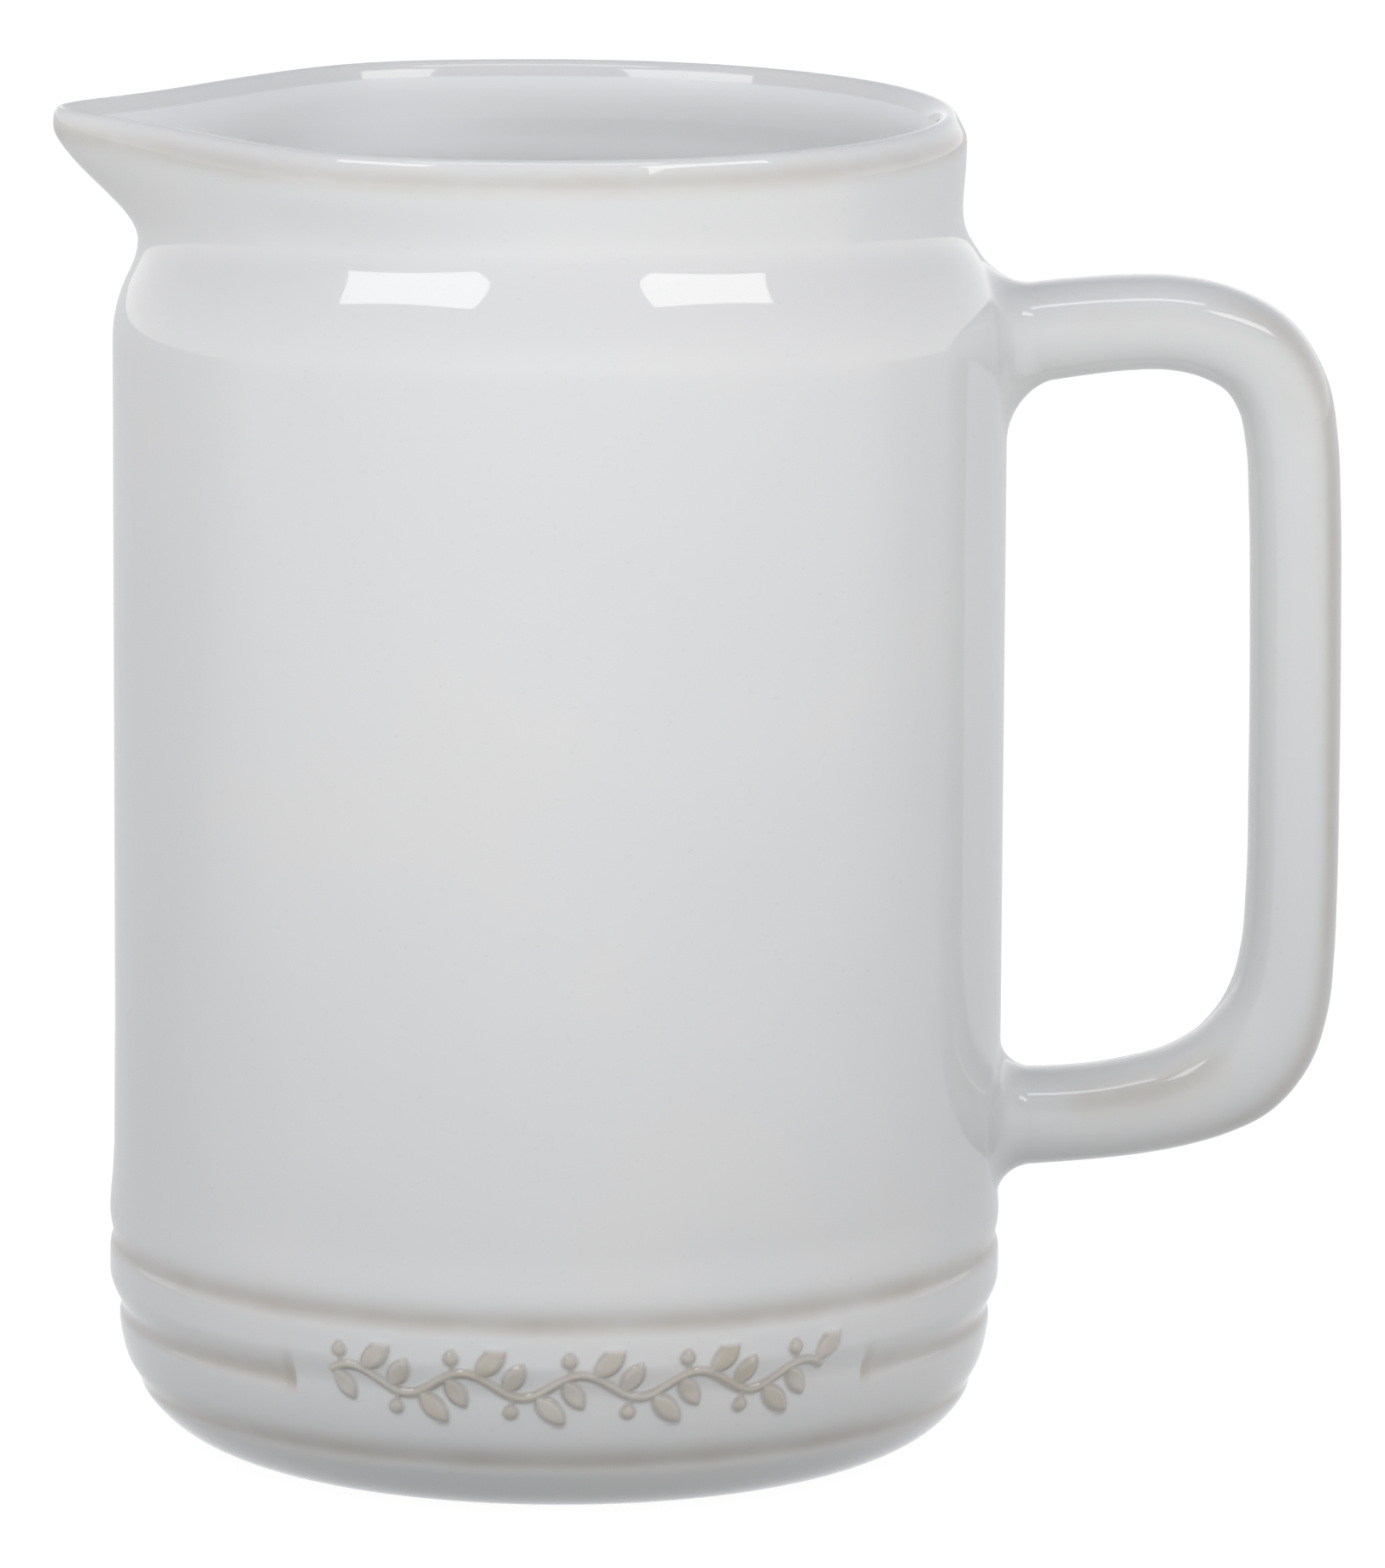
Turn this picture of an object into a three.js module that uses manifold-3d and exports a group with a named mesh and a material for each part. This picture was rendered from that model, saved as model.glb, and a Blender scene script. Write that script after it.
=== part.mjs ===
// A stoneware pitcher: a slip-cast jug body with a drawn pouring lip, and a D-shaped handle that is cast
// on its own and luted to the body with two pads of slip. Millimetres, +Z up. The origin is on the body's
// axis in the plane of its foot, the handle is at +X and the pouring lip at -X.
import * as THREE from "three";
import { mergeVertices } from "three/addons/utils/BufferGeometryUtils.js";
import Module from "manifold-3d";

// Body
const HEIGHT = 138.7; // foot to rim
const WALL_RADIUS = 46; // outside of the straight wall
const WALL = 3.8; // thickness of the wall
const SEGMENTS = 56; // round the body
const GATHER = 0.6; // how strongly those segments crowd towards the lip

// Foot and base curve
const FOOT_RADIUS = 30.8; // outer edge of the flat foot ring
const FOOT_WIDTH = 4.3;
const RECESS = 0.8; // the underside inside the foot ring stands this high
const BASE_RADIUS = 45.5; // where the base curve meets the wall
const BASE_CURVE_HEIGHT = 16.8;
const BASE_CURVE_POWER = 2.7; // exponent of the superellipse that rounds the base
const FLOOR = 5.5; // height of the floor inside
const FLOOR_CORNER = 9; // radius of the corner between floor and wall inside

// Two raised rings with a groove above and below the lower one, and a third groove on the base curve
const LOW_GROOVE = 7;
const MID_GROOVE = 14.5;
const TOP_GROOVE = 21.8;
const RINGS_END = 30.3; // where the upper ring has faded into the wall
const UPPER_RING_CREST = 24.8;
const LOWER_RING_CREST = 19.6;
const RING_RADIUS = 46.25;
const GROOVE_DEPTH = 0.45;
const GROOVE_HALF_WIDTH = 1;

// Shoulder, neck and rim
const SHOULDER_DROP = 22; // bottom of the shoulder below the rim
const NECK_DROP = 9.5; // top of the shoulder below the rim
const NECK_RADIUS = 41.3;
const RIM_FLARE = 0.5;
const RIM_FLARE_DROP = 2.5; // the rim is at its widest this far below its crest

// Pouring lip
const LIP_REACH = 11; // how far the rim is drawn out at the tip
const LIP_THINNING = 1.3; // the inside is drawn this much further
const LIP_DROP = 17.5; // the lip starts this far below the rim
const LIP_HALF_ANGLE = THREE.MathUtils.degToRad(12); // where the pull is half of its full reach
const CHEEK_SHARE = 0.14; // slight widening of the rim on each side of the lip
const CHEEK_ANGLE = THREE.MathUtils.degToRad(62);
const CHEEK_SPREAD = THREE.MathUtils.degToRad(14);

// Handle: centreline as [x, z], from the upper root to the lower one
const HANDLE_LINE = [
  [43, 115.0],
  [50, 115.9],
  [58, 116.8],
  [67, 115.9],
  [72.2, 113.2],
  [74.8, 107.7],
  [75.7, 100.6],
  [76.1, 79],
  [76.1, 58],
  [75.9, 52],
  [74.7, 44.5],
  [72.3, 39.7],
  [68.3, 36.7],
  [64, 35.2],
  [57, 33.9],
  [50, 33.4],
  [43, 33.2],
];
const HANDLE_THICKNESS = 9.5;
const HANDLE_WIDTH = 13;
const HANDLE_STEPS = 42;
const HANDLE_CURVE_STEPS = 10; // on each half of the section

// Slip pads between the handle's ends and the wall
const GAP = 0.3; // clearance between neighbouring pieces
const PAD_WEB = 0.8; // thickness of slip between the handle's end and the wall
const PAD_FILLET = 3.1; // how far the fillet of slip spreads over the wall
const PAD_LENGTH = 4; // how far it climbs along the handle
const PAD_EDGE = 0.4; // thickness of the slip where it ends
const PAD_SIDES = 28;

const lerp = THREE.MathUtils.lerp;
const smoothstep = THREE.MathUtils.smoothstep;

// Radius of the rounded base at a height: a superellipse from the foot ring to the wall.
function baseCurve(z) {
  const rise = 1 - THREE.MathUtils.clamp(z / BASE_CURVE_HEIGHT, 0, 1);
  return FOOT_RADIUS + (BASE_RADIUS - FOOT_RADIUS) * (1 - rise ** BASE_CURVE_POWER) ** (1 / BASE_CURVE_POWER);
}

// Radius of the wall, shoulder and neck without the base curve and the rings.
function plainRadius(z) {
  const neck = NECK_RADIUS + RIM_FLARE * smoothstep(z, HEIGHT - NECK_DROP, HEIGHT - RIM_FLARE_DROP);
  return lerp(WALL_RADIUS, neck, smoothstep(z, HEIGHT - SHOULDER_DROP, HEIGHT - NECK_DROP));
}

function groove(z, at) {
  return GROOVE_DEPTH * Math.exp(-(((z - at) / GROOVE_HALF_WIDTH) ** 2));
}

// Outside radius of the turned body at a height, before the lip is drawn.
function outerRadius(z) {
  let radius;
  if (z < MID_GROOVE) radius = baseCurve(z);
  else if (z < TOP_GROOVE) {
    radius = lerp(baseCurve(MID_GROOVE), RING_RADIUS, smoothstep(z, MID_GROOVE, LOWER_RING_CREST));
  } else if (z < RINGS_END) {
    radius = lerp(RING_RADIUS, WALL_RADIUS, smoothstep(z, UPPER_RING_CREST, RINGS_END));
  } else radius = plainRadius(z);
  return radius - groove(z, LOW_GROOVE) - groove(z, MID_GROOVE) - groove(z, TOP_GROOVE);
}

const innerRadius = (z) => plainRadius(z) - WALL;

// Evenly spaced numbers from a to b, both ends included.
const spaced = (a, b, count) => Array.from({ length: count + 1 }, (_, i) => lerp(a, b, i / count));

// Half the section of the body: underside, outside, rim and inside, from the axis back to the axis.
function bodyProfile() {
  const points = [
    [0, RECESS],
    [FOOT_RADIUS - FOOT_WIDTH - RECESS, RECESS],
    [FOOT_RADIUS - FOOT_WIDTH, 0],
    [FOOT_RADIUS, 0],
  ];
  const outsideHeights = [
    0.15, 0.7, 1.8, 3.4, 5,
    ...spaced(LOW_GROOVE - 1, LOW_GROOVE + 1, 2),
    9.5, 12,
    ...spaced(MID_GROOVE - 1, MID_GROOVE + 1, 2),
    17.3, LOWER_RING_CREST,
    ...spaced(TOP_GROOVE - 1, TOP_GROOVE + 1, 2),
    UPPER_RING_CREST, 27.5, RINGS_END, 60, 90,
    ...spaced(HEIGHT - SHOULDER_DROP, HEIGHT - NECK_DROP, 8),
    HEIGHT - 6, HEIGHT - RIM_FLARE_DROP,
  ];
  for (const z of outsideHeights) points.push([outerRadius(z), z]);
  const rimRadius = WALL / 2;
  const rimCentre = NECK_RADIUS + RIM_FLARE - rimRadius;
  for (const angle of spaced(0, Math.PI, 6)) {
    points.push([rimCentre + rimRadius * Math.cos(angle), HEIGHT - rimRadius + rimRadius * Math.sin(angle)]);
  }
  const insideHeights = [
    HEIGHT - 6,
    ...spaced(HEIGHT - NECK_DROP, HEIGHT - SHOULDER_DROP, 6),
    90, 60, 30,
  ];
  for (const z of insideHeights) points.push([innerRadius(z), z]);
  for (const angle of spaced(0, Math.PI / 2, 4)) {
    points.push([
      WALL_RADIUS - WALL - FLOOR_CORNER * (1 - Math.cos(angle)),
      FLOOR + FLOOR_CORNER * (1 - Math.sin(angle)),
    ]);
  }
  points.push([0, FLOOR]);
  return points;
}

// Turns [radius, height] points round the Z axis.
function turned(points, segments) {
  const profile = points.map(([radius, height]) => new THREE.Vector2(radius, height));
  return new THREE.LatheGeometry(profile, segments).rotateX(Math.PI / 2);
}

// The share of the lip's full reach at an angle from -X.
function lipShape(angle) {
  const peak = 1 / (1 + (Math.tan(angle / 2) / Math.tan(LIP_HALF_ANGLE / 2)) ** 2);
  const cheek = CHEEK_SHARE * Math.exp(-(((Math.abs(angle) - CHEEK_ANGLE) / CHEEK_SPREAD) ** 2));
  return peak + cheek;
}

// Draws the pouring lip out of a turned body, as a potter pulls it from the rim.
function drawLip(geometry) {
  const position = geometry.getAttribute("position");
  for (let i = 0; i < position.count; i++) {
    const [x, y, z] = [position.getX(i), position.getY(i), position.getZ(i)];
    const radius = Math.hypot(x, y);
    if (radius < 1e-6) continue;
    const even = Math.atan2(y, -x);
    const angle = even - GATHER * Math.sin(even);
    const depth = THREE.MathUtils.clamp((outerRadius(z) - radius) / WALL, 0, 1);
    const reach = (LIP_REACH + LIP_THINNING * depth) * smoothstep(z, HEIGHT - LIP_DROP, HEIGHT);
    const drawn = radius + reach * lipShape(angle);
    position.setXY(i, -drawn * Math.cos(angle), drawn * Math.sin(angle));
  }
  geometry.computeVertexNormals();
  return geometry;
}

// The handle's oval section, grown by a margin.
function ovalShape(margin) {
  const shape = new THREE.Shape();
  shape.absellipse(0, 0, HANDLE_WIDTH / 2 + margin, HANDLE_THICKNESS / 2 + margin, 0, 2 * Math.PI);
  return shape;
}

function handleSweep(margin) {
  const line = new THREE.CatmullRomCurve3(
    HANDLE_LINE.map(([x, z]) => new THREE.Vector3(x, 0, z)),
    false,
    "centripetal",
  );
  return new THREE.ExtrudeGeometry(ovalShape(margin), {
    extrudePath: line,
    steps: HANDLE_STEPS,
    curveSegments: HANDLE_CURVE_STEPS,
  });
}

// The fillet of slip round a handle root: an oval trumpet that opens towards the wall and follows it.
function filletFlare(rootHeight) {
  const foot = GAP + PAD_EDGE;
  const outline = [[0, -PAD_LENGTH], [PAD_FILLET, -PAD_LENGTH]];
  for (const angle of spaced(0, Math.PI / 2, 6)) {
    outline.push([
      lerp(PAD_FILLET, foot, Math.sin(angle)),
      lerp(foot, PAD_LENGTH, 1 - Math.cos(angle)),
    ]);
  }
  outline.push([0, PAD_LENGTH]);
  const flare = turned(outline, PAD_SIDES);
  const position = flare.getAttribute("position");
  for (let i = 0; i < position.count; i++) {
    const margin = Math.hypot(position.getX(i), position.getY(i));
    const angle = Math.atan2(position.getY(i), position.getX(i));
    const onAxis = margin < 1e-6;
    const y = onAxis ? 0 : (HANDLE_WIDTH / 2 + margin) * Math.cos(angle);
    const z = rootHeight + (onAxis ? 0 : (HANDLE_THICKNESS / 2 + margin) * Math.sin(angle));
    position.setXYZ(i, Math.sqrt(plainRadius(z) ** 2 - y ** 2) + position.getZ(i), y, z);
  }
  return flare;
}

const wasm = await Module();
wasm.setup();

// A closed three.js geometry as a manifold-3d solid, and back.
function toSolid(geometry) {
  const bare = geometry.clone();
  bare.deleteAttribute("normal");
  bare.deleteAttribute("uv");
  const merged = mergeVertices(bare, 1e-4);
  return new wasm.Manifold(
    new wasm.Mesh({
      numProp: 3,
      vertProperties: merged.getAttribute("position").array,
      triVerts: new Uint32Array(merged.getIndex().array),
    }),
  );
}

function toGeometry(solid) {
  const mesh = solid.getMesh();
  const geometry = new THREE.BufferGeometry();
  geometry.setAttribute("position", new THREE.BufferAttribute(mesh.vertProperties, 3));
  geometry.setIndex(new THREE.BufferAttribute(mesh.triVerts, 1));
  geometry.computeVertexNormals();
  return geometry;
}

// The body's outside as a filled solid without its rings, grown by a margin.
function bodyEnvelope(margin) {
  const heights = [LOW_GROOVE, RINGS_END, 75, ...spaced(HEIGHT - SHOULDER_DROP, HEIGHT - NECK_DROP, 8), HEIGHT];
  const side = heights.map((z) => [plainRadius(z) + margin, z]);
  return toSolid(turned([[0, LOW_GROOVE], ...side, [0, HEIGHT]], 3 * SEGMENTS));
}

function handleGeometry() {
  return toGeometry(toSolid(handleSweep(0)).subtract(bodyEnvelope(GAP + PAD_WEB + GAP)));
}

function padGeometry(rootHeight) {
  const socket = toSolid(handleSweep(GAP)).subtract(bodyEnvelope(GAP + PAD_WEB));
  return toGeometry(toSolid(filletFlare(rootHeight)).subtract(bodyEnvelope(GAP)).subtract(socket));
}

function glazed(colour) {
  return new THREE.MeshStandardMaterial({ color: colour, roughness: 0.1, metalness: 0 });
}

function named(name, geometry, material) {
  const mesh = new THREE.Mesh(geometry, material);
  mesh.name = name;
  return mesh;
}

const glaze = glazed(0xdadcda);
const pitcher = new THREE.Group();
pitcher.add(
  named("body", drawLip(turned(bodyProfile(), SEGMENTS)), glaze),
  named("handle", handleGeometry(), glaze),
  named("upper_slip_pad", padGeometry(HANDLE_LINE[1][1]), glazed(0xd8dad9)),
  named("lower_slip_pad", padGeometry(HANDLE_LINE.at(-2)[1]), glazed(0xd8dad9)),
);

export default pitcher;
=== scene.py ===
"""A glazed stoneware pitcher on a pale studio floor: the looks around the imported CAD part.

Shapes are worked out in millimetres in the part's own frame (origin in the foot's plane on the body's
axis, +Z up, handle at +X, pouring lip at -X, front at -Y) and go to metres when a mesh is made. Stage,
lights and camera are in metres.
"""
import math
from contextlib import contextmanager

import bmesh
import bpy
import numpy as np
from mathutils import Matrix, Quaternion, Vector


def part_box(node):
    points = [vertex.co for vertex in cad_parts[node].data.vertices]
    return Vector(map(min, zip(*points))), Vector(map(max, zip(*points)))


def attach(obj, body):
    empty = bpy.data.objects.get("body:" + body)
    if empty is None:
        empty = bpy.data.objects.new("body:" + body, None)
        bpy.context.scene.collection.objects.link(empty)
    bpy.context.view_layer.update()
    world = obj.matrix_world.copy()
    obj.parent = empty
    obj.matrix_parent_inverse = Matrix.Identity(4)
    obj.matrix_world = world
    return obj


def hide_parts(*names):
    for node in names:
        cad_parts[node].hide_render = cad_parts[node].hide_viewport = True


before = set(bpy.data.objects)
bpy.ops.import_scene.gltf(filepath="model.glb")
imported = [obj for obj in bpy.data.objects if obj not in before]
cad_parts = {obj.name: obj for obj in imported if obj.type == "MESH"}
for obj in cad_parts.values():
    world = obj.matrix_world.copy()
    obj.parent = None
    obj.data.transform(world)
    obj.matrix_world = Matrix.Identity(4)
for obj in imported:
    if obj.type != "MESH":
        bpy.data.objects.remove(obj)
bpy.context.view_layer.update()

MM = 0.001
POLE_WELD = 0.00001  # metres

# ---------------------------------------------------------------- sizes
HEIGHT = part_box("body")[1].z / MM
WALL_RADIUS = 46.0
WALL = 3.8
FOOT_RADIUS = 30.8
FOOT_WIDTH = 4.3
FOOT_FLAT = (2.2, 0.5)  # how far in from its edge the rows on its flat lie
RECESS = 0.8
RECESS_ROUNDING = 0.8
FOOT_GLAZE_GAP = (0.2, 0.5)  # heights between which the bare clay of the foot gives way to glaze
FOOT_THIN_GLAZE_AND_SHADE = (0.4, 1.1)  # heights between which the foot's beige fades out: painted contact shade, partly glaze thinning at the foot
BASE_RADIUS = 45.5
BASE_CURVE_HEIGHT = 16.8
BASE_CURVE_POWER = 2.6
FLOOR = 5.5
FLOOR_CORNER = 9.0

LOW_GROOVE = 6.6
MID_GROOVE = 13.8
TOP_GROOVE = 21.2
RINGS_END = 30.3
UPPER_RING_CREST = 23.5
UPPER_RING_FOOT = 28.3
LOWER_RING_CREST = 17.4
RING_RADIUS = 46.28
RING_LEAN = 0.3  # the rings and the base sit a little towards the lip
RING_LEAN_RISE = (2, 9)  # heights over which they begin to, and cease to
RING_LEAN_FALL = (26, 34)
GROOVE_DEPTH = 0.34
GROOVE_ABOVE = 1.45  # half width of a groove's upper and lower flank
GROOVE_BELOW = 0.85

# Shoulder and neck: drop below the rim, and radius
SHOULDER = [(24.7, 46.0), (22.7, 45.95), (20.8, 45.68), (19.0, 45.15), (17.2, 44.4), (15.5, 43.45),
            (14.2, 42.62), (13.1, 41.95), (11.9, 41.5), (10.6, 41.3), (8.9, 41.25), (6.0, 41.3)]
SHOULDER_RISE = 2.4  # how much higher it sits at the front and back than at the handle
NECK_DROP = 11.0
RIM_FLARE = 0.32
RIM_FLARE_DROP = 3.0
RIM_CREST = 39.74
# The rim's section, a rounded gable: distance out from the crest, and drop below it
RIM_OUTSIDE = [(1.88, 3.0), (1.78, 2.45), (1.57, 1.95), (1.31, 1.45), (1.04, 0.95), (0.77, 0.48),
               (0.42, 0.13), (0.0, 0.0)]
RIM_INSIDE = [(-0.45, 0.13), (-0.88, 0.45), (-1.18, 0.9), (-1.45, 1.4), (-1.7, 1.9), (-1.92, 2.4),
              (-2.1, 3.0), (-2.23, 3.8), (-2.3, 4.8), (-2.33, 6.0)]
RIM_ROWS = 44
RIM_OUTER_ROWS = 14  # of the rim's rows, those that can carry the thin line below the crest
RIM_WHITE_FROM = 24  # the row of the rim from which the inside begins: painted whiter there as painted light, and rougher
RIM_THIN = (2.3, 1.1, 0.75)  # the thin line: drop below the crest, spread and strength

LIP_REACH = 11.0
LIP_THINNING = 1.3
LIP_DROP = 17.0
LIP_HALF_ANGLE = math.radians(12)
CHEEK_SHARE = 0.15
CHEEK_ANGLE = math.radians(60)
CHEEK_SPREAD = math.radians(17)
CHEEK_TOP_DROP = 4.0  # the cheeks fade in from the neck up to here

# Handle stations: centre x, centre z, thickness in the plane of the D
HANDLE = [(43.4, 115.0, 10.2), (46, 115.3, 10.2), (50, 115.9, 10.1), (54, 116.4, 9.9), (58, 116.75, 9.7),
          (63, 116.75, 9.6), (67.5, 115.8, 9.7), (71.9, 113.3, 9.8), (74.4, 109.35, 9.7), (75.4, 104.5, 9.5),
          (75.8, 98, 9.45), (76.05, 86, 9.4), (76.15, 70, 9.4), (76.05, 57, 9.45), (75.75, 51, 9.7),
          (74.9, 45.8, 10.5), (73.2, 41.6, 11.3), (70.6, 38.5, 11.4), (67.6, 36.7, 10.8), (64, 35.35, 10.2),
          (60, 34.45, 9.9), (56, 33.85, 9.7), (52, 33.5, 9.7), (48, 33.3, 9.9), (43.4, 33.2, 10.1)]
HANDLE_WIDTH = 12.9
HANDLE_POWER = 2.35  # 2 is an ellipse, more is squarer
HANDLE_STEPS = 260
HANDLE_SIDES = 72
# Where the handle turns beige: along its edges where the glaze thins, and on the lower bar's upper face as
# painted shade under the upper bar and the wall.
# Cosine of the turn round the bar (1 is the outside of the D), spread and strength
OUTER_EDGE_THIN = (0.72, 0.2, 0.8)
LOW_BAR_PAINTED_SHADE = (-0.4, 0.35, 0.75)
HIGH_BAR_THIN = (0.2, 0.3, 0.25)
# and where each of these fades in
CLEAR_OF_WALL = (50, 56)  # x
UPRIGHT_FROM = (62, 74)  # x
LOW_BAR_BELOW = (44, 36)  # z
LOW_BAR_BEFORE = (78, 66)  # x
HIGH_BAR_ABOVE = (104, 110)  # z

# How far each root's slip spreads over the wall and along the handle: above, below and at the sides
ROOTS = {"upper": ((3.7, 5.8, 4.6), (4.3, 5.2, 3.4)), "lower": ((3.4, 3.5, 4.6), (3.4, 3.5, 3.4))}
FILLET_ROWS = 22
FILLET_PASSES = 4
BARS_END = 66  # x up to which the handle's bars run straight out of the wall
# Rows that carry a fillet's edges on into the wall and into the bar: shares of its spread over the wall
# and along the handle
FILLET_IN_WALL = [(1.32, -0.3), (1.3, -0.03), (1.2, -0.014), (1.1, -0.004)]
FILLET_IN_BAR = [(-0.002, 1.08), (-0.01, 1.16), (-0.025, 1.25), (-0.3, 1.28)]

# Ornament on the front of the lower band
BAND_RADIUS = 45.6
BAND_LOW = 10.8
BAND_HIGH = 18.7
OFF_BAND = -99.0  # stands for places behind the jug, far from the ornament
BAND_START = -35.1  # degrees round from the front, where the middle groove stops and begins again
BAND_END = 43.4
GROOVE_END_BLUR = 0.3  # degrees over which the groove stops
GROOVE_END_SPREAD = (1.2, 2.6)  # degrees from its end between which the groove gets its usual width
GROOVE_END_WIDER = 0.4
# how much more beige near the middle groove's ends: painted shade of the deeper notch there
GROOVE_END_PAINTED_SHADE = 0.8
SPRIG_START = -24.0  # along the band, in millimetres
SPRIG_END = 29.5
SPRIG_HEIGHT = 0.5
SPRIG_FLANK = (-0.42, 0.22)  # distances from the outline between which the relief rises
SPRIG_OUTLINE = (-0.02, 0.2)  # distance at which the stain round it is darkest, and its spread
VINE_MIDDLE = 15.1
VINE_WAVES = 4.5
VINE_SWING = 1.25
VINE_STEPS = 140
VINE_END_GAP = 1.0
VINE_HALF_WIDTH = 0.45
# Two leaves to every half wave: place as a share of it, lean in degrees, length and width
LEAVES = [(0.22, 46, 4.2, 2.2), (-0.30, -58, 3.7, 2.0)]
BERRY_PLACE = -0.20
BERRY_RISE = 2.75
BERRY_RADIUS = 0.72
BERRY_STALK = (0.3, 0.24)  # how far along the vine it is rooted, and half its width


def smoothstep(low, high, x):
    t = np.clip((x - low) / (high - low), 0, 1)
    return t * t * (3 - 2 * t)


def bump(x, centre, spread):
    return np.exp(-(((x - centre) / spread) ** 2))


def lerp(a, b, t):
    return a + (b - a) * t


def hermite(x, xs, ys, level_ends=False):
    """Smooth curve through points with rising xs."""
    xs, ys = np.asarray(xs, float), np.asarray(ys, float)
    slope = np.gradient(ys, xs)
    if level_ends:
        slope[0] = slope[-1] = 0
    i = np.clip(np.searchsorted(xs, x) - 1, 0, len(xs) - 2)
    width = xs[i + 1] - xs[i]
    t = np.clip((x - xs[i]) / width, 0, 1)
    return ((1 + 2 * t) * (1 - t) ** 2 * ys[i] + t * (1 - t) ** 2 * width * slope[i]
            + t * t * (3 - 2 * t) * ys[i + 1] + t * t * (t - 1) * width * slope[i + 1])


def travelled(points):
    """Distance along a line of points, measured in its first two coordinates."""
    return np.concatenate([[0], np.cumsum(np.hypot(*np.diff(points[:, :2], axis=0).T))])


# ---------------------------------------------------------------- body shape
def base_curve(z):
    fall = 1 - np.clip(z / BASE_CURVE_HEIGHT, 0, 1)
    share = (1 - fall ** BASE_CURVE_POWER) ** (1 / BASE_CURVE_POWER)
    return FOOT_RADIUS + (BASE_RADIUS - FOOT_RADIUS) * share


def plain_radius(z, angle=math.pi / 2):
    """Wall, shoulder and neck without the rings; the angle is measured round from the front."""
    heights = [HEIGHT - drop for drop, _ in SHOULDER]
    radii = [radius for _, radius in SHOULDER]
    z = np.asarray(z, float)
    lift = SHOULDER_RISE * np.cos(angle) ** 2
    flare = RIM_FLARE * smoothstep(HEIGHT - NECK_DROP, HEIGHT - RIM_FLARE_DROP, z)
    return hermite(np.clip(z - lift, heights[0], heights[-1]), heights, radii, level_ends=True) + flare


def groove(z, at, widen=1.0):
    return bump(z, at, np.where(z > at, GROOVE_ABOVE, GROOVE_BELOW) * widen)


def ring_lean(z):
    """How far the rings sit towards the lip."""
    return RING_LEAN * smoothstep(*RING_LEAN_RISE, z) * (1 - smoothstep(*RING_LEAN_FALL, z))


def middle_groove_gate(angle):
    """1 where the middle groove runs and 0 across the ornament; and how much it widens at its ends."""
    degrees = np.degrees(angle)
    across = smoothstep(BAND_START - GROOVE_END_BLUR, BAND_START + GROOVE_END_BLUR, degrees)
    across = across * (1 - smoothstep(BAND_END - GROOVE_END_BLUR, BAND_END + GROOVE_END_BLUR, degrees))
    from_end = np.minimum(np.abs(degrees - BAND_START), np.abs(degrees - BAND_END))
    return 1 - across, 1 + GROOVE_END_WIDER * (1 - smoothstep(*GROOVE_END_SPREAD, from_end))


def outer_radius(z, angle):
    """Outside of the turned body, and how beige it is there: thin glaze in the grooves, partly painted shade
    of their flanks.
    """
    lower = lerp(base_curve(MID_GROOVE), RING_RADIUS, smoothstep(MID_GROOVE, LOWER_RING_CREST, z))
    upper = lerp(RING_RADIUS, WALL_RADIUS, smoothstep(UPPER_RING_CREST, UPPER_RING_FOOT, z))
    radius = np.where(z < MID_GROOVE, base_curve(z), np.where(z < TOP_GROOVE, lower, upper))
    radius = np.where(z < RINGS_END, radius, plain_radius(z, angle))
    gate, widen = middle_groove_gate(angle)
    full_lines = groove(z, LOW_GROOVE) + groove(z, TOP_GROOVE)
    middle_line = gate * groove(z, MID_GROOVE, widen)
    # the grooves' beige: partly thin glaze, partly painted shade, stronger near the middle groove's ends
    thin_glaze_and_shade = full_lines + middle_line * (1 + GROOVE_END_PAINTED_SHADE * (widen - 1))
    return radius - GROOVE_DEPTH * (full_lines + middle_line), thin_glaze_and_shade


def lip_shape(angle_from_lip, cheek_fade):
    """Share of the lip's reach at each angle: its point, and the swelling on either side."""
    away = np.abs(angle_from_lip)
    half = np.tan(np.clip(away, 0, math.pi - 1e-3) / 2)
    peak = 1 / (1 + (half / math.tan(LIP_HALF_ANGLE / 2)) ** 2)
    return peak + CHEEK_SHARE * bump(away, CHEEK_ANGLE, CHEEK_SPREAD) * cheek_fade


# ---------------------------------------------------------------- ornament: a running vine
def segment_distance(px, py, ax, ay, bx, by):
    dx, dy = bx - ax, by - ay
    t = np.clip(((px - ax) * dx + (py - ay) * dy) / (dx * dx + dy * dy), 0, 1)
    return np.hypot(px - ax - t * dx, py - ay - t * dy)


def leaf_distance(px, py, x, y, angle, length, width):
    """Signed distance, near enough, to a leaf: a lens with its stalk end at x, y."""
    c, s = math.cos(angle), math.sin(angle)
    u = (px - x) * c + (py - y) * s
    v = -(px - x) * s + (py - y) * c
    radius = (length ** 2 / 4 + width ** 2 / 4) / width
    return np.hypot(u - length / 2, np.abs(v) + radius - width / 2) - radius


def vine_height(s):
    turns = VINE_WAVES * (s - SPRIG_START) / (SPRIG_END - SPRIG_START)
    return VINE_MIDDLE + VINE_SWING * np.sin(2 * math.pi * turns)


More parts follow.
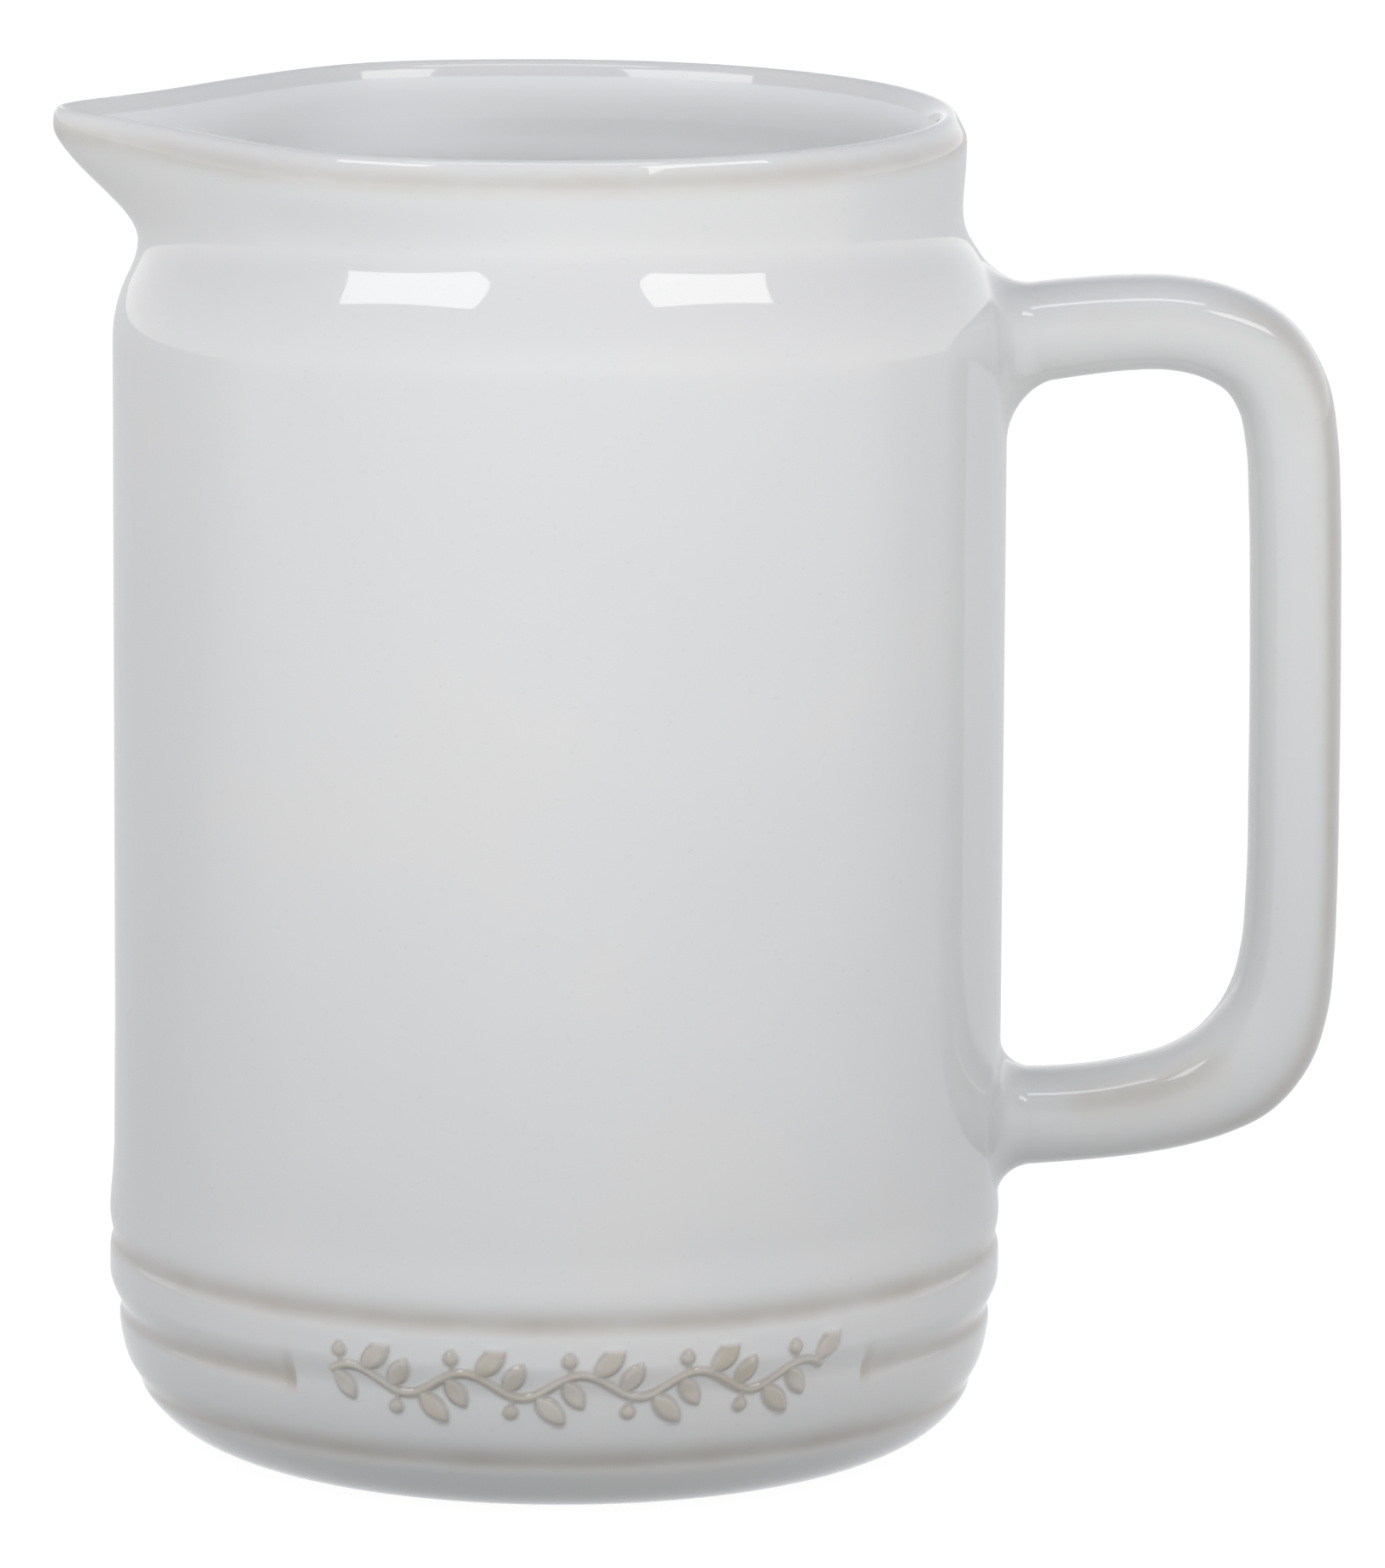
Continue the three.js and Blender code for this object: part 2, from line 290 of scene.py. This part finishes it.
def vine_distance(s, z):
    """Signed distance from points on the band to the vine, negative inside it."""
    stem_s = np.linspace(SPRIG_START + VINE_END_GAP, SPRIG_END - VINE_END_GAP, VINE_STEPS)
    stem = list(zip(stem_s, vine_height(stem_s)))
    shapes = [segment_distance(s, z, *start, *end) - VINE_HALF_WIDTH for start, end in zip(stem, stem[1:])]
    half_wave = (SPRIG_END - SPRIG_START) / VINE_WAVES / 2
    stalk_root, stalk_half_width = BERRY_STALK
    for i in range(round(2 * VINE_WAVES)):
        crest = SPRIG_START + half_wave * (i + 0.5)
        up = 1 if i % 2 == 0 else -1
        for share, lean, length, width in LEAVES:
            root = crest + half_wave * share
            lean = math.radians(up * lean)
            shapes.append(leaf_distance(s, z, root, vine_height(root), lean, length, width))
        berry_s, berry_z = crest + half_wave * BERRY_PLACE, VINE_MIDDLE + up * BERRY_RISE
        shapes.append(np.hypot(s - berry_s, z - berry_z) - BERRY_RADIUS)
        stalk = segment_distance(s, z, berry_s, berry_z, berry_s + stalk_root, VINE_MIDDLE + up)
        shapes.append(stalk - stalk_half_width)
    return np.minimum.reduce(shapes)


# ---------------------------------------------------------------- meshes
def add_object(name, data):
    made = bpy.data.objects.new(name, data)
    bpy.context.scene.collection.objects.link(made)
    return made


def grid_mesh(name, points, attributes):
    """A mesh from points[row, column, xyz] whose columns close round."""
    rows, columns, _ = points.shape
    index = np.arange(rows * columns).reshape(rows, columns)
    wrap = np.roll(index, -1, axis=1)
    quads = np.stack([index[:-1], wrap[:-1], wrap[1:], index[1:]], axis=-1)
    mesh = bpy.data.meshes.new(name)
    mesh.from_pydata((points.reshape(-1, 3) * MM).tolist(), [], quads.reshape(-1, 4).tolist())
    for key, values in attributes.items():
        made = mesh.attributes.new(key, "FLOAT", "POINT")
        made.data.foreach_set("value", np.broadcast_to(values, (rows, columns)).ravel().astype(np.float32))
    mesh.shade_smooth()
    mesh.validate()
    return add_object(name, mesh)


@contextmanager
def reworked(piece):
    """Opens a piece's mesh for editing, and turns its faces outward afterwards."""
    work = bmesh.new()
    work.from_mesh(piece.data)
    yield work
    bmesh.ops.recalc_face_normals(work, faces=work.faces)
    work.to_mesh(piece.data)
    work.free()


def close_ends(piece):
    """Closes the open first and last row of a tube with flat caps."""
    with reworked(piece) as work:
        bmesh.ops.holes_fill(work, edges=[e for e in work.edges if e.is_boundary], sides=0)


def weld_poles(piece):
    """Draws the first and last row of a turned form together on the axis."""
    with reworked(piece) as work:
        on_axis = [v for v in work.verts if v.co.xy.length < POLE_WELD]
        bmesh.ops.remove_doubles(work, verts=on_axis, dist=POLE_WELD)
    piece.data.shade_smooth()


def span(low, high, count):
    return list(np.linspace(low, high, count, endpoint=False))


def body_columns():
    """Angles round from the front towards the handle: fine at the ornament, the handle and the lip."""
    front = span(-37.5, -31.0, 16) + span(-31.0, 38.0, 250) + span(38.0, 46.0, 18)
    right = span(46.0, 74.0, 10) + span(74.0, 106.0, 36) + span(106.0, 230.0, 30)
    lip = span(230.0, 322.5, 80)
    return np.radians(np.array(front + right + lip))


def outside_heights():
    """Heights of the outside's rows, close together at the grooves, the ornament and the shoulder."""
    shoulder_start = HEIGHT - SHOULDER[0][0]
    shoulder_end = HEIGHT - SHOULDER[-1][0]
    return np.array(span(0.12, 1.2, 5) + span(1.2, 5.0, 6) + span(5.0, 9.4, 14) + span(9.4, 11.0, 3)
                    + span(11.0, 18.6, 38) + span(18.6, 20.0, 3) + span(20.0, 24.4, 14)
                    + span(24.4, RINGS_END, 8) + span(RINGS_END, shoulder_start, 6)
                    + span(shoulder_start, shoulder_end, 26) + span(shoulder_end, HEIGHT - RIM_FLARE_DROP, 6))


def ornament(heights, angle):
    """Relief of the vine, and its outline, at every row and column."""
    degrees = np.degrees(angle)
    along = np.where(degrees > 180, OFF_BAND, np.radians(degrees) * BAND_RADIUS)
    near = (heights > BAND_LOW) & (heights < BAND_HIGH)
    along, across = np.broadcast_arrays(along, heights[:, None])
    relief, edge = np.zeros(along.shape), np.zeros(along.shape)
    distance = vine_distance(along[near], across[near])
    relief[near] = 1 - smoothstep(*SPRIG_FLANK, distance)
    edge[near] = bump(distance, *SPRIG_OUTLINE)
    return relief, edge


def rim_line():
    """Radius and height of the rim's rows, from outside over the crest to inside."""
    section = np.array(RIM_OUTSIDE + RIM_INSIDE)
    travel = travelled(section)
    steps = np.linspace(0, travel[-1], RIM_ROWS)
    out, drop = (hermite(steps, travel, section[:, k]) for k in (0, 1))
    return list(zip(RIM_CREST + out, HEIGHT - drop))


def inner_line():
    """Radius and height of the inside's rows, down the wall and across the floor to the axis."""
    heights = span(HEIGHT - 7.5, HEIGHT - 25, 20) + span(HEIGHT - 25, FLOOR + FLOOR_CORNER, 8)
    wall = [(float(plain_radius(z)) - WALL, z) for z in heights]
    corner = [(WALL_RADIUS - WALL - FLOOR_CORNER * (1 - math.cos(turn)),
               FLOOR + FLOOR_CORNER * (1 - math.sin(turn))) for turn in np.linspace(0, math.pi / 2, 11)]
    return wall + corner + [(20.0, FLOOR), (8.0, FLOOR), (0.0, FLOOR)]


def body_points():
    """Rows of points from the axis under the foot, up the outside, over the rim and down the inside."""
    angle = body_columns()[None, :]
    rows = {"radius": [], "height": [], "thin_glaze_and_shade": [], "bare": [], "raised": [], "outline": []}

    def add_row(*values):
        for kind, value in zip(rows.values(), values + (0.0,) * (len(rows) - len(values))):
            kind.append(np.broadcast_to(value, angle.shape[1:]))

    recess_radius = FOOT_RADIUS - FOOT_WIDTH - RECESS_ROUNDING
    for radius in (0.0, 14.0, recess_radius - RECESS_ROUNDING):
        add_row(radius, RECESS)
    for turn in np.linspace(0, math.pi / 2, 4):
        add_row(recess_radius + RECESS_ROUNDING * math.sin(turn), RECESS * math.cos(turn), 0.0, turn / 1.6)
    for inset in FOOT_FLAT:
        add_row(FOOT_RADIUS - inset, 0, 0.0, 1.0)

    heights = outside_heights()
    radii, lines = outer_radius(heights[:, None], angle)
    relief, edge = ornament(heights, angle)
    bare = 1 - smoothstep(*FOOT_GLAZE_GAP, heights)
    for values in zip(radii + SPRIG_HEIGHT * relief, heights, lines, bare, relief, edge):
        add_row(*values)
    rim_start = len(rows["radius"])
    for radius, height in rim_line() + inner_line():
        add_row(radius, height)

    r, h = np.array(rows.pop("radius")), np.array(rows.pop("height"))
    attributes = {key: np.array(values) for key, values in rows.items()}
    row_number = np.arange(len(r))[:, None]
    drop, spread, strength = RIM_THIN
    outward = row_number < rim_start + RIM_OUTER_ROWS
    attributes["thin_glaze_and_shade"] += outward * strength * bump(h, HEIGHT - drop, spread)
    # beige at the bottom of the outside: painted contact shade where the jug meets the floor, with glaze
    # thinning at the foot
    attributes["thin_glaze_and_shade"] += (h > 0.05) * (1 - smoothstep(*FOOT_THIN_GLAZE_AND_SHADE, h))
    # the inside: its glaze whitened as painted light, and made rougher
    attributes["inside"] = 1.0 * (row_number > rim_start + RIM_WHITE_FROM)

    angle_from_lip = np.radians((np.degrees(angle) + 90 + 180) % 360 - 180)
    depth = np.clip((plain_radius(h) - r) / WALL, 0, 1)
    drawn = (LIP_REACH + LIP_THINNING * depth) * smoothstep(HEIGHT - LIP_DROP, HEIGHT, h)
    cheek_fade = smoothstep(HEIGHT - NECK_DROP, HEIGHT - CHEEK_TOP_DROP, h)
    r = r + drawn * lip_shape(angle_from_lip, cheek_fade)
    lean = ring_lean(h) * (row_number < rim_start)
    return np.stack([r * np.sin(angle) - lean, -r * np.cos(angle), h], axis=-1), attributes


# ---------------------------------------------------------------- handle
def handle_line():
    stations = np.array(HANDLE, float)
    travel = travelled(stations)
    t = np.linspace(0, travel[-1], HANDLE_STEPS)
    x, z, thick = (hermite(t, travel, stations[:, k]) for k in range(3))
    dx, dz = np.gradient(x, t), np.gradient(z, t)
    size = np.hypot(dx, dz)
    return x, z, thick, dx / size, dz / size


def oval(turn, half_a, half_b):
    """Points of a superellipse: first number along a, second along b."""
    c, s = np.cos(turn), np.sin(turn)
    power = 2 / HANDLE_POWER
    return half_a * np.sign(c) * np.abs(c) ** power, half_b * np.sign(s) * np.abs(s) ** power


def handle_points():
    x, z, thick, dx, dz = (values[:, None] for values in handle_line())
    turn = np.linspace(0, 2 * math.pi, HANDLE_SIDES, endpoint=False)[None, :]
    across, deep = oval(turn, thick / 2, HANDLE_WIDTH / 2)
    points = np.stack([x - across * dz, np.broadcast_to(deep, across.shape), z + across * dx], axis=-1)
    clear = smoothstep(*CLEAR_OF_WALL, x)
    # the lower bar's upper face: painted shade under the upper bar
    low_bar_shade = smoothstep(*LOW_BAR_BELOW, z) * clear * smoothstep(*LOW_BAR_BEFORE, x)
    places = [(OUTER_EDGE_THIN, smoothstep(*UPRIGHT_FROM, x)), (LOW_BAR_PAINTED_SHADE, low_bar_shade),
              (HIGH_BAR_THIN, smoothstep(*HIGH_BAR_ABOVE, z) * clear)]
    thin_glaze_and_shade = sum(strength * bump(np.cos(turn), at, spread) * where for (at, spread, strength), where in places)
    return points, {"thin_glaze_and_shade": thin_glaze_and_shade}


def bar_of(root):
    """The handle's bar at one root, by rising x: x, centre height and thickness."""
    half = HANDLE_STEPS // 2
    pick = slice(0, half) if root == "upper" else slice(half, HANDLE_STEPS)
    line = np.array(handle_line()[:3])[:, pick]
    line = line[:, np.argsort(line[0])]
    keep = np.concatenate([[True], np.diff(line[0]) > 1e-6])
    keep &= np.arange(len(keep)) < np.argmax(line[0] > BARS_END)
    return line[:, keep]


def fillet_points(root, reach, climb):
    """The slip round a handle root: follows the handle's own section and lies down on the wall."""
    bar_x, bar_z, bar_thick = bar_of(root)
    turn = np.linspace(0, 2 * math.pi, HANDLE_SIDES, endpoint=False)
    hollow = [(1 - math.sin(t), 1 - math.cos(t)) for t in np.linspace(0, math.pi / 2, FILLET_ROWS)]
    rows = FILLET_IN_WALL + hollow + FILLET_IN_BAR
    upward = 0.5 + 0.5 * np.cos(turn)
    sideways = np.sin(turn) ** 4
    wide, long = (lerp(lerp(below, above, upward), beside, sideways)
                  for above, below, beside in (reach, climb))
    made = []
    for out, up in rows:
        margin, distance = wide * out, long * up
        px = WALL_RADIUS + distance
        for _ in range(FILLET_PASSES):  # px and the section there depend on each other
            centre, thickness = np.interp(px, bar_x, bar_z), np.interp(px, bar_x, bar_thick)
            across, deep = oval(turn, thickness / 2, HANDLE_WIDTH / 2)
            larger = 1 + margin / np.hypot(across, deep)
            pz = centre + across * larger
            py = deep * larger
            angle = np.arccos(np.clip(-py / plain_radius(pz), -1, 1))
            px = np.sqrt(plain_radius(pz, angle) ** 2 - py ** 2) - ring_lean(pz) + distance
        made.append(np.stack([px, py, pz], axis=-1))
    return np.array(made), {"thin_glaze_and_shade": np.zeros((len(rows), HANDLE_SIDES))}


# ---------------------------------------------------------------- materials
def new_tree(owner, output_type="ShaderNodeOutputMaterial"):
    """An empty node tree with only its output node."""
    owner.use_nodes = True
    tree = owner.node_tree
    tree.nodes.clear()
    return tree, tree.nodes.new(output_type)


def feed(tree, socket, value):
    """Links an output to a socket, or writes a number or a colour into it."""
    if isinstance(value, tuple):
        socket.default_value = (*value, 1.0)
    elif isinstance(value, (int, float)):
        socket.default_value = value
    else:
        tree.links.new(value, socket)


def add_coordinate(tree, kind):
    return tree.nodes.new("ShaderNodeTexCoord").outputs[kind]


def add_axes(tree, coordinate):
    node = tree.nodes.new("ShaderNodeSeparateXYZ")
    tree.links.new(coordinate, node.inputs[0])
    return node.outputs


def add_noise(tree, vector, scale, detail=2.0, roughness=0.5):
    node = tree.nodes.new("ShaderNodeTexNoise")
    node.inputs["Scale"].default_value = scale
    node.inputs["Detail"].default_value = detail
    node.inputs["Roughness"].default_value = roughness
    tree.links.new(vector, node.inputs["Vector"])
    return node.outputs["Fac"]


def add_math(tree, operation, a, b):
    node = tree.nodes.new("ShaderNodeMath")
    node.operation = operation
    for socket, value in zip(node.inputs, (a, b)):
        feed(tree, socket, value)
    return node.outputs[0]


def add_range(tree, value, low, high, to_low, to_high):
    node = tree.nodes.new("ShaderNodeMapRange")
    node.clamp = True
    for name, number in (("From Min", low), ("From Max", high), ("To Min", to_low), ("To Max", to_high)):
        node.inputs[name].default_value = number
    tree.links.new(value, node.inputs["Value"])
    return node.outputs["Result"]


def add_mix(tree, factor, a, b, data_type="RGBA"):
    node = tree.nodes.new("ShaderNodeMix")
    node.data_type = data_type
    tree.links.new(factor, node.inputs["Factor"])
    feed(tree, node.inputs["A"], a)
    feed(tree, node.inputs["B"], b)
    return node.outputs["Result"]


def add_attribute(tree, name, share=None):
    """One of the mesh's own values, or a share of it."""
    node = tree.nodes.new("ShaderNodeAttribute")
    node.attribute_name = name
    value = node.outputs["Fac"]
    return value if share is None else add_math(tree, "MULTIPLY", value, share)


def add_bump(tree, height, distance, normal=None):
    node = tree.nodes.new("ShaderNodeBump")
    node.inputs["Strength"].default_value = 1.0
    node.inputs["Distance"].default_value = distance
    tree.links.new(height, node.inputs["Height"])
    if normal is not None:
        tree.links.new(normal, node.inputs["Normal"])
    return node.outputs["Normal"]


COOL_WHITE = (0.850, 0.862, 0.852)
WARM_WHITE = (0.880, 0.876, 0.860)
SPECK_GREY = (0.60, 0.60, 0.58)
# Beige of thin glaze, also used as painted shade in the grooves, at the foot and on the handle's lower bar
BEIGE_THIN_GLAZE_AND_SHADE = (0.540, 0.475, 0.385)
RAISED_BEIGE = (0.600, 0.525, 0.400)
OUTLINE_BROWN = (0.340, 0.285, 0.215)
BISQUE = (0.52, 0.43, 0.32)
# Glaze whitened inside the mouth: painted light
INSIDE_PAINTED_LIGHT = (0.965, 0.968, 0.96)
# How far the handle's glaze is darkened: painted shade
HANDLE_PAINTED_SHADE = 0.95
THIN_GLAZE_AND_SHADE_SHARE = 0.66
RAISED_SHARE = 0.92
OUTLINE_SHARE = 0.45
GLAZE_IOR = 1.58
GLAZE_ROUGHNESS = (0.018, 0.05)
BISQUE_ROUGHNESS = 0.75
INSIDE_ROUGHNESS = 0.38
# Scale, detail and roughness of the noise behind each unevenness of the glaze
CLOUDS = (26, 3, 0.55)
SPECKS = (1400, 2, 0.6)
PATCHES = (95, 3, 0.6)
GLOSS = (160, 3)
WAVES = (55, 1)
PEEL = (650, 2)
WAVES_DEPTH = 0.00012
PEEL_DEPTH = 0.0000025


def glaze_material(name, has_relief, painted_shade=1.0):
    """Gloss glaze with faint clouds and specks, beige where it is thin and where shade is painted; the body's
    has more to it.
    """
    material = bpy.data.materials.new(name)
    tree, out = new_tree(material)
    shader = tree.nodes.new("ShaderNodeBsdfPrincipled")
    tree.links.new(shader.outputs["BSDF"], out.inputs["Surface"])
    where = add_coordinate(tree, "Object")
    # darker whites for the handle: painted shade
    whites = [tuple(painted_shade * part for part in white) for white in (COOL_WHITE, WARM_WHITE)]
    clouds = add_range(tree, add_noise(tree, where, *CLOUDS), 0.35, 0.65, 0.0, 1.0)
    specks = add_range(tree, add_noise(tree, where, *SPECKS), 0.62, 0.8, 0.0, 0.14)
    patches = add_range(tree, add_noise(tree, where, *PATCHES), 0.3, 0.7, 0.55, 1.0)
    colour = add_mix(tree, specks, add_mix(tree, clouds, *whites), SPECK_GREY)
    # beige where the glaze is thin, and painted shade in the grooves, at the foot and on the handle's lower
    # bar
    thin_glaze_and_shade = add_math(tree, "MULTIPLY", add_attribute(tree, "thin_glaze_and_shade"), patches)
    colour = add_mix(tree, add_math(tree, "MULTIPLY", thin_glaze_and_shade, THIN_GLAZE_AND_SHADE_SHARE), colour, BEIGE_THIN_GLAZE_AND_SHADE)
    roughness = add_range(tree, add_noise(tree, where, *GLOSS), 0.3, 0.7, *GLAZE_ROUGHNESS)
    if has_relief:
        raised = add_math(tree, "MULTIPLY", add_attribute(tree, "raised"), patches)
        inside, bare = add_attribute(tree, "inside"), add_attribute(tree, "bare")
        colour = add_mix(tree, add_math(tree, "MULTIPLY", raised, RAISED_SHARE), colour, RAISED_BEIGE)
        colour = add_mix(tree, add_attribute(tree, "outline", OUTLINE_SHARE), colour, OUTLINE_BROWN)
        # the inside painted whiter: painted light
        colour = add_mix(tree, inside, colour, INSIDE_PAINTED_LIGHT)
        colour = add_mix(tree, bare, colour, BISQUE)
        roughness = add_mix(tree, bare, roughness, BISQUE_ROUGHNESS, "FLOAT")
        roughness = add_mix(tree, inside, roughness, INSIDE_ROUGHNESS, "FLOAT")
    tree.links.new(colour, shader.inputs["Base Color"])
    tree.links.new(roughness, shader.inputs["Roughness"])
    shader.inputs["IOR"].default_value = GLAZE_IOR
    waves = add_bump(tree, add_noise(tree, where, *WAVES), WAVES_DEPTH)
    peel = add_bump(tree, add_noise(tree, where, *PEEL), PEEL_DEPTH, waves)
    tree.links.new(peel, shader.inputs["Normal"])
    return material


# ---------------------------------------------------------------- the pieces
def place(piece, material, slot, *nodes):
    piece.data.materials.append(material)
    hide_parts(*nodes)
    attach(piece, "root")


body_glaze = glaze_material("body_glaze", True)
# the handle's glaze a little darker than the body's: painted shade
handle_glaze = glaze_material("handle_glaze", False, HANDLE_PAINTED_SHADE)

body = grid_mesh("jug_body", *body_points())
weld_poles(body)
place(body, body_glaze, "body_glaze", "body")

handle = grid_mesh("jug_handle", *handle_points())
close_ends(handle)
place(handle, handle_glaze, "handle_glaze", "handle")

for end, (reach, climb) in ROOTS.items():
    fillet = grid_mesh(f"{end}_handle_fillet", *fillet_points(end, reach, climb))
    place(fillet, handle_glaze, "pad_glaze", f"{end}_slip_pad")


# ---------------------------------------------------------------- stage, light and camera
PLAIN_WHITE = (1.0, 1.0, 1.0)
STAGE_RADIUS = 6.0
STAGE_SIDES = 64
# What the floor shows the camera: a little of the light that falls on it, and its own glow
STAGE_GREY = 0.12
STAGE_GLOW = 0.96
STAGE_TINT = (0.97, 0.98, 1.0)
# Ramps of brightness: from and to along an axis or a radius, and the strength at each end
STAGE_IN_REFLECTIONS = (-0.12, 0.10, 1.2, 0.74)  # by y
STAGE_BOUNCE = (-0.25, 0.06, 1.25, 0.30)  # by y
STAGE_SHADE = (0.045, 0.24, 0.30, 0.70)  # by distance from the object
WORLD_FRONT = (-1, 0.9, 1.3, 1.08)  # by y
WORLD_SIDE = (-1, 1, 1.02, 1.10)  # by x
WORLD_TALL = (0.02, 0.6, 1.0, 0.14)  # by z
WORLD_BLUE = (0.1, 0.9, 0, 1)  # by z, the share of the tint overhead
WORLD_TOP_TINT = (0.80, 0.82, 1.0)

LIGHT_DISTANCE = 1.2
LIGHT_TARGET = Vector((0, 0, HEIGHT * 0.8 * MM))

SENSOR_WIDTH = 36
FOCAL_LENGTH = 269.64
CAMERA_PLACE = (0, -1.1953, 0.2944)
CAMERA_PITCH = math.radians(10.7125)
CAMERA_YAW = math.radians(-0.6632)
CAMERA_ROLL = math.radians(-0.3156)


def mix_shaders(tree, ray, otherwise, seen):
    """One shader for a kind of ray, another for the rest."""
    node = tree.nodes.new("ShaderNodeMixShader")
    tree.links.new(tree.nodes.new("ShaderNodeLightPath").outputs[ray], node.inputs[0])
    tree.links.new(otherwise, node.inputs[1])
    tree.links.new(seen, node.inputs[2])
    return node.outputs[0]


def add_glow(tree, strength, colour):
    node = tree.nodes.new("ShaderNodeEmission")
    feed(tree, node.inputs["Color"], colour)
    feed(tree, node.inputs["Strength"], strength)
    return node.outputs[0]


def floor_material():
    """White to the camera, greyer as a source of bounced light, and dimmer behind the jug in reflections."""
    material = bpy.data.materials.new("studio_floor")
    tree, out = new_tree(material)
    matt = tree.nodes.new("ShaderNodeBsdfDiffuse")
    feed(tree, matt.inputs["Color"], (STAGE_GREY,) * 3)
    seen = tree.nodes.new("ShaderNodeAddShader")
    tree.links.new(matt.outputs[0], seen.inputs[0])
    tree.links.new(add_glow(tree, STAGE_GLOW, PLAIN_WHITE), seen.inputs[1])
    where = add_coordinate(tree, "Object")
    y = add_axes(tree, where)["Y"]
    radius = tree.nodes.new("ShaderNodeVectorMath")
    radius.operation = "LENGTH"
    tree.links.new(where, radius.inputs[0])
    shade = add_range(tree, radius.outputs["Value"], *STAGE_SHADE)
    bounce = add_math(tree, "MULTIPLY", add_range(tree, y, *STAGE_BOUNCE), shade)
    reflected = add_glow(tree, add_range(tree, y, *STAGE_IN_REFLECTIONS), STAGE_TINT)
    unseen = mix_shaders(tree, "Is Diffuse Ray", reflected, add_glow(tree, bounce, STAGE_TINT))
    tree.links.new(mix_shaders(tree, "Is Camera Ray", unseen, seen.outputs[0]), out.inputs["Surface"])
    return material


def make_floor():
    mesh = bpy.data.meshes.new("floor")
    turns = np.linspace(0, 2 * math.pi, STAGE_SIDES, endpoint=False)
    around = [(STAGE_RADIUS * math.cos(turn), STAGE_RADIUS * math.sin(turn), 0) for turn in turns]
    mesh.from_pydata(around, [], [list(range(STAGE_SIDES))])
    mesh.materials.append(floor_material())
    floor = add_object("floor", mesh)


def make_world():
    """A soft studio: bright in front of the object, dimmer behind and overhead; white to the camera."""
    world = bpy.data.worlds.new("studio")
    bpy.context.scene.world = world
    tree, out = new_tree(world, "ShaderNodeOutputWorld")
    axes = add_axes(tree, add_coordinate(tree, "Generated"))
    level = add_math(tree, "MULTIPLY", add_range(tree, axes["Y"], *WORLD_FRONT),
                     add_range(tree, axes["X"], *WORLD_SIDE))
    strength = add_math(tree, "MULTIPLY", level, add_range(tree, axes["Z"], *WORLD_TALL))
    studio = tree.nodes.new("ShaderNodeBackground")
    tint = add_mix(tree, add_range(tree, axes["Z"], *WORLD_BLUE), PLAIN_WHITE, WORLD_TOP_TINT)
    feed(tree, studio.inputs["Color"], tint)
    feed(tree, studio.inputs["Strength"], strength)
    plain = tree.nodes.new("ShaderNodeBackground")
    feed(tree, plain.inputs["Color"], PLAIN_WHITE)
    both = mix_shaders(tree, "Is Camera Ray", studio.outputs[0], plain.outputs[0])
    tree.links.new(both, out.inputs["Surface"])


def softbox(name, azimuth, elevation, size, radiance, colour=PLAIN_WHITE, roll=0, mirrored=True):
    """An area light aimed at the jug; its azimuth runs from the camera's side towards the handle."""
    width, height = size
    data = bpy.data.lights.new(name, "AREA")
    data.shape = "RECTANGLE"
    data.size = width
    data.size_y = height
    data.energy = radiance * math.pi * width * height
    data.color = colour
    lamp = add_object(name, data)
    lamp.visible_glossy = mirrored
    az, el = math.radians(azimuth), math.radians(elevation)
    direction = Vector((math.sin(az) * math.cos(el), -math.cos(az) * math.cos(el), math.sin(el)))
    lamp.location = LIGHT_TARGET + direction * LIGHT_DISTANCE
    turn = direction.to_track_quat("Z", "Y") @ Quaternion((0, 0, 1), math.radians(roll))
    lamp.rotation_euler = turn.to_euler()


def make_camera():
    """The photograph's view: 1.2 m in front, looking down at the jug by a little under 11 degrees."""
    data = bpy.data.cameras.new("camera")
    data.sensor_width = SENSOR_WIDTH
    data.lens = FOCAL_LENGTH
    data.clip_end = 50
    camera = add_object("camera", data)
    level = Vector((-math.sin(CAMERA_YAW), math.cos(CAMERA_YAW), 0))
    right = Vector((math.cos(CAMERA_YAW), math.sin(CAMERA_YAW), 0))
    forward = level * math.cos(CAMERA_PITCH) - Vector((0, 0, 1)) * math.sin(CAMERA_PITCH)
    up = right.cross(forward)
    tilted_right = right * math.cos(CAMERA_ROLL) - up * math.sin(CAMERA_ROLL)
    tilted_up = right * math.sin(CAMERA_ROLL) + up * math.cos(CAMERA_ROLL)
    turn = Matrix((tilted_right, tilted_up, -forward)).transposed()
    camera.matrix_world = Matrix.Translation(CAMERA_PLACE) @ turn.to_4x4()
    bpy.context.scene.camera = camera


make_floor()
make_world()
softbox("left_softbox", azimuth=-53, elevation=48.5, size=(0.72, 0.25), radiance=3.5, roll=14)
softbox("right_softbox", azimuth=54, elevation=49, size=(0.64, 0.2), radiance=3.6,
        colour=(1.0, 0.99, 0.97), roll=-14)
softbox("top_softbox", azimuth=0, elevation=77, size=(0.80, 0.19), radiance=3.3, colour=(0.90, 0.92, 1.0))
softbox("front_fill", azimuth=0, elevation=44, size=(1.3, 0.5), radiance=0.68, mirrored=False)
softbox("back_fill", azimuth=184, elevation=32, size=(1.3, 0.6), radiance=1.5,
        colour=(0.97, 0.98, 1.0), mirrored=False)
make_camera()
bpy.context.scene.view_settings.view_transform = "Standard"
